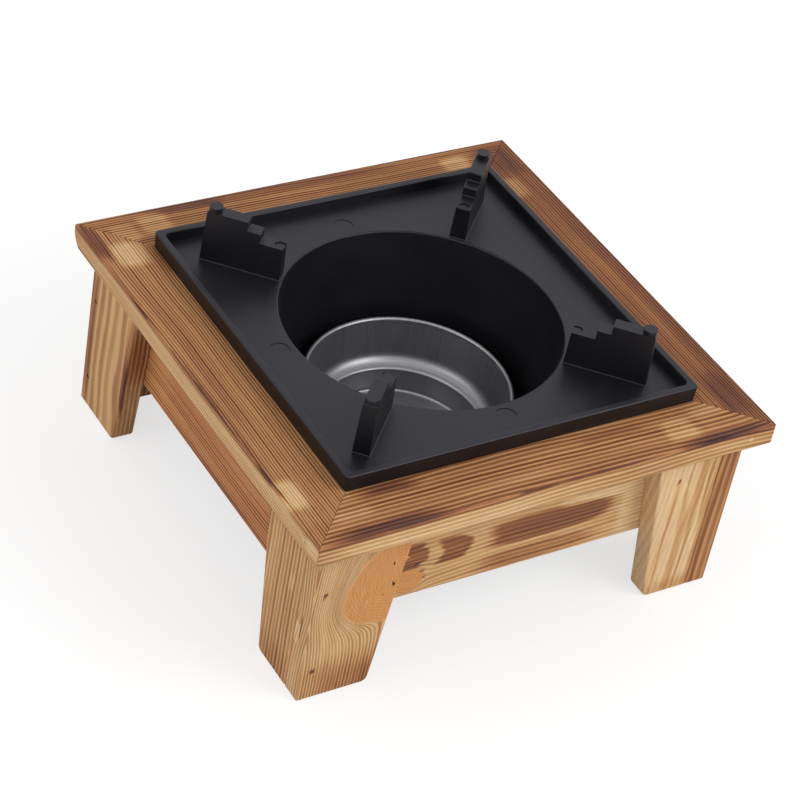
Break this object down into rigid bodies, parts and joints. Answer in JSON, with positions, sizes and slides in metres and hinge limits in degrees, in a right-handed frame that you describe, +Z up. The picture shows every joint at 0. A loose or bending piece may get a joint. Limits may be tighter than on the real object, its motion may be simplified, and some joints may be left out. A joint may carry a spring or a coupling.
{
  "type": "alcohol stove",
  "caption": "Square table-top alcohol stove: scorched softwood stand, black cast pan with deep well and stepped pot fins, loose stainless fuel bowl.",
  "frame": {"origin": "on the table, below the centre of the stand", "axes": "+X right along the front side, +Y away from the front, +Z up"},
  "size_m": [0.24, 0.24, 0.133],
  "materials": {
    "softwood": "satin",
    "brad_steel": "satin",
    "cast_black": "satin",
    "stainless": "satin"
  },
  "bodies": {
    "stand": {"front_top_board": "softwood", "right_top_board": "softwood", "back_top_board": "softwood", "left_top_board": "softwood", "front_apron": "softwood", "right_apron": "softwood", "back_apron": "softwood", "left_apron": "softwood", "front_left_leg_front_board": "softwood", "front_left_leg_left_board": "softwood", "front_right_leg_right_board": "softwood", "front_right_leg_front_board": "softwood", "back_right_leg_back_board": "softwood", "back_right_leg_right_board": "softwood", "back_left_leg_left_board": "softwood", "back_left_leg_back_board": "softwood", "leg_corner_brads": "brad_steel", "leg_to_apron_brads": "brad_steel", "apron_corner_brads": "brad_steel", "top_frame_brads": "brad_steel", "mitre_brads": "brad_steel"},
    "pan": {"pan": "cast_black"},
    "fuel_bowl": {"fuel_bowl": "stainless"}
  },
  "joints": [
    {"name": "pan_lift", "type": "slide", "parent": "stand", "child": "pan", "axis": [0, 0, 1], "range_m": [0, 0.09]},
    {"name": "bowl_lift", "type": "slide", "parent": "pan", "child": "fuel_bowl", "axis": [0, 0, 1], "range_m": [0, 0.11]}
  ]
}
